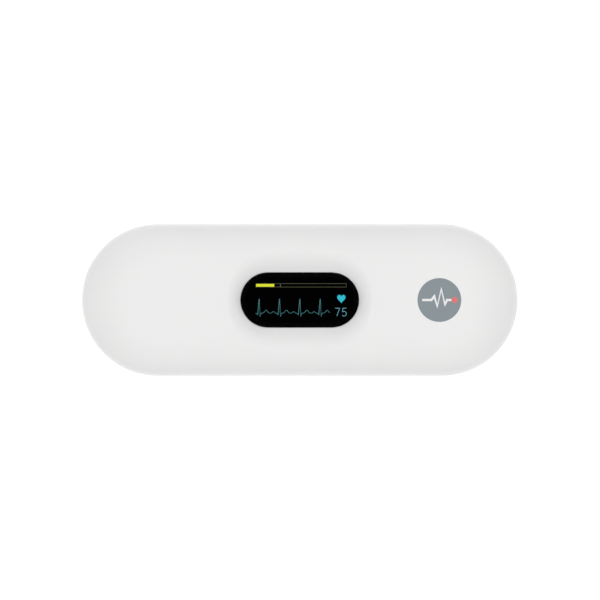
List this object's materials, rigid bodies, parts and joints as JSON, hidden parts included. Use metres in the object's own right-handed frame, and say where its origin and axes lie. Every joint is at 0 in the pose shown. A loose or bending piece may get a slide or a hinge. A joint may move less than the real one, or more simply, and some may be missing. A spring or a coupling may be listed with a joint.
{
  "type": "pocket ecg monitor",
  "caption": "Pill-shaped handheld heart recorder with a dished display window, steel finger electrodes on the back, a side power button and a charging socket.",
  "frame": {"origin": "under the middle of the body, on the plane that the two electrodes rest on", "axes": "+X along the body towards the charging socket, +Y across it towards the power button, +Z out of the display window"},
  "size_m": [0.104, 0.0362, 0.0138],
  "materials": {
    "white_abs": "satin",
    "smoked_acrylic": "gloss",
    "electrode_steel": "fine brushed",
    "screw_steel": "turned",
    "display_glass": "polished",
    "green_laminate": "solder mask",
    "black_epoxy": "moulded",
    "amber_film": "smooth film",
    "black_foam": "open cell",
    "grey_tape": "matt",
    "nickel_plate": "bright",
    "gold_plate": "bright",
    "foil_pouch": "crinkled foil",
    "cream_nylon": "moulded",
    "red_sleeve": "smooth",
    "black_sleeve": "smooth",
    "tan_ceramic": "fired",
    "orange_case": "moulded"
  },
  "bodies": {
    "case": {"front_shell": "white_abs", "rear_shell": "white_abs", "display_window": "smoked_acrylic", "right_electrode": "electrode_steel", "left_electrode": "electrode_steel", "case_screw_1": "screw_steel", "case_screw_2": "screw_steel", "case_screw_3": "screw_steel", "case_screw_4": "screw_steel", "right_electrode_clip": "screw_steel", "left_electrode_clip": "screw_steel", "display_cover_glass": "display_glass", "display_back_glass": "display_glass", "main_board": "green_laminate", "radio_board": "green_laminate", "display_driver_chip": "black_epoxy", "display_frame": "black_epoxy", "controller_chip": "black_epoxy", "heart_signal_chip": "black_epoxy", "memory_chip": "black_epoxy", "charger_chip": "black_epoxy", "power_inductor": "black_epoxy", "charge_tongue": "black_epoxy", "switch_body": "black_epoxy", "display_flex": "amber_film", "display_gasket": "black_foam", "window_tape": "grey_tape", "right_electrode_seal": "grey_tape", "left_electrode_seal": "grey_tape", "battery_pad": "grey_tape", "crystal": "nickel_plate", "radio_shield": "nickel_plate", "charge_socket": "nickel_plate", "right_contact_spring": "gold_plate", "left_contact_spring": "gold_plate", "battery_cell": "foil_pouch", "battery_plug": "cream_nylon", "battery_connector": "cream_nylon", "battery_red_lead": "red_sleeve", "battery_black_lead": "black_sleeve", "filter_capacitor_1": "tan_ceramic", "filter_capacitor_2": "tan_ceramic", "filter_capacitor_3": "tan_ceramic", "filter_capacitor_4": "tan_ceramic", "radio_antenna": "tan_ceramic", "storage_capacitor": "orange_case"},
    "button": {"power_button": "white_abs", "switch_plunger": "cream_nylon"}
  },
  "joints": [
    {"name": "button_press", "type": "slide", "parent": "case", "child": "button", "axis": [0, -1, 0], "range_m": [0, 0.0004], "stiffness_N_per_m": 4000}
  ]
}
